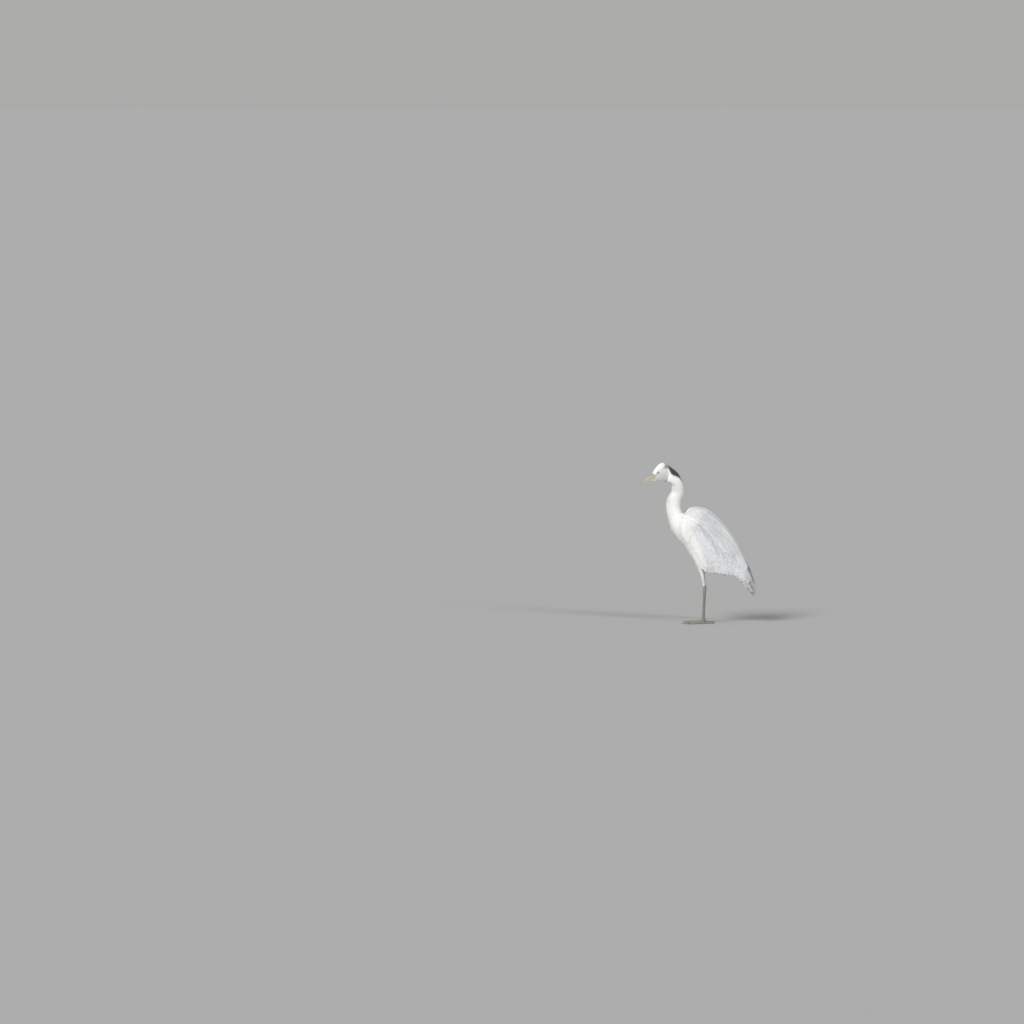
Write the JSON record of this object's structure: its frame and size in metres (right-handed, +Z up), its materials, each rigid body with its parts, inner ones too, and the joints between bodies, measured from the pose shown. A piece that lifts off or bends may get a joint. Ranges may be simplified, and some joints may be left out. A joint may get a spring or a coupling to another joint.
{
  "type": "grey heron",
  "caption": "Life-size grey heron that stands on flat feet, its neck drawn into an S and its head turned to its left.",
  "frame": {"origin": "on the floor, below the middle of the bird's box", "axes": "+Z up, the bird looks along -X and its left side is at -Y"},
  "size_m": [0.535, 0.2404, 0.74],
  "materials": {
    "white_feathers": "soft white contour feathers",
    "grey_feathers": "soft pale grey wing and back feathers",
    "slate_feathers": "smooth slate flight and tail feathers",
    "black_feathers": "glossy black crest plumes",
    "upper_bill": "satin horn, darker along the ridge",
    "lower_bill": "satin yellowish horn",
    "eye": "clear wet surface over a yellow iris and a black pupil",
    "leg_skin": "dry scaled skin",
    "claw": "satin dark horn"
  },
  "bodies": {
    "root": {"head": "white_feathers", "neck_upper": "white_feathers", "neck_middle": "white_feathers", "neck_lower": "white_feathers", "trunk": "grey_feathers", "wing_left": "grey_feathers", "wing_right": "grey_feathers", "tail": "slate_feathers", "thigh_left": "white_feathers", "thigh_right": "white_feathers", "crest_left": "black_feathers", "crest_right": "black_feathers", "eye_left": "eye", "eye_right": "eye", "bill_upper": "upper_bill", "bill_lower": "lower_bill", "shin_left": "leg_skin", "shin_right": "leg_skin", "tarsus_left": "leg_skin", "tarsus_right": "leg_skin", "palm_left": "leg_skin", "palm_right": "leg_skin", "toe_inner_left": "leg_skin", "toe_middle_left": "leg_skin", "toe_outer_left": "leg_skin", "toe_hind_left": "leg_skin", "toe_inner_right": "leg_skin", "toe_middle_right": "leg_skin", "toe_outer_right": "leg_skin", "toe_hind_right": "leg_skin", "claw_inner_left": "claw", "claw_middle_left": "claw", "claw_outer_left": "claw", "claw_hind_left": "claw", "claw_inner_right": "claw", "claw_middle_right": "claw", "claw_outer_right": "claw", "claw_hind_right": "claw"}
  },
  "joints": []
}
